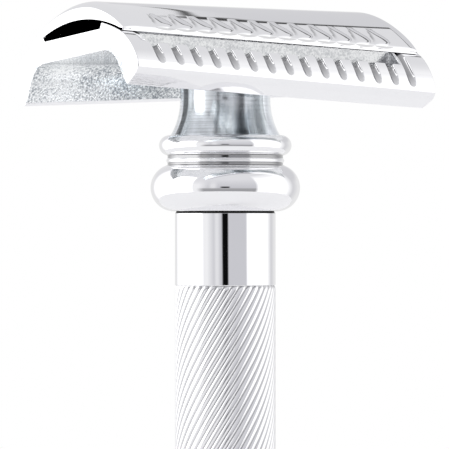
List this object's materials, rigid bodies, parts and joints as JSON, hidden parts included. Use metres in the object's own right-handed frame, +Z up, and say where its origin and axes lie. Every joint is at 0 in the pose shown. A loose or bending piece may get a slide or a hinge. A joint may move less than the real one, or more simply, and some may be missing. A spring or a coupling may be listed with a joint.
{
  "type": "safety razor",
  "caption": "Slant-head double-edge safety razor whose foot knob turns an inner rod that draws the twisted cap down onto a comb plate.",
  "frame": {"origin": "centre of the flat foot of the knob, on the axis of the handle", "axes": "+Z up the handle towards the head, X along the length of the head, Y across it"},
  "size_m": [0.0416, 0.026, 0.1025],
  "materials": {
    "polished_chrome": "mirror-polished plating",
    "turned_steel": "satin, fine turning lines",
    "plain_steel": "machined",
    "bush_brass": "machined",
    "seal_rubber": "matte"
  },
  "bodies": {
    "handle": {"base_plate": "polished_chrome", "neck": "turned_steel", "collar": "polished_chrome", "handle_tube": "polished_chrome", "upper_guide_bush": "bush_brass", "lower_guide_bush": "bush_brass"},
    "drive": {"draw_rod": "plain_steel", "draw_nut": "plain_steel", "twist_knob": "polished_chrome", "knob_screw": "plain_steel", "knob_end_cap": "polished_chrome", "retaining_ring": "plain_steel", "disc_spring": "plain_steel", "thrust_washer": "bush_brass", "rod_o_ring": "seal_rubber"},
    "head_cap": {"cap": "polished_chrome", "cap_stud": "plain_steel", "locating_pins": "plain_steel"}
  },
  "joints": [
    {"name": "cap_lift", "type": "slide", "parent": "handle", "child": "head_cap", "axis": [0, 0, 1], "range_m": [0, 0.008]},
    {"name": "knob_turn", "type": "hinge", "parent": "handle", "child": "drive", "pos_m": [0, 0, 0.007], "axis": [0, 0, -1], "range_deg": [0, 3600]}
  ],
  "couplings": [
    {"joint": "knob_turn", "follows": "cap_lift", "rad_per_m": 7853.9}
  ]
}
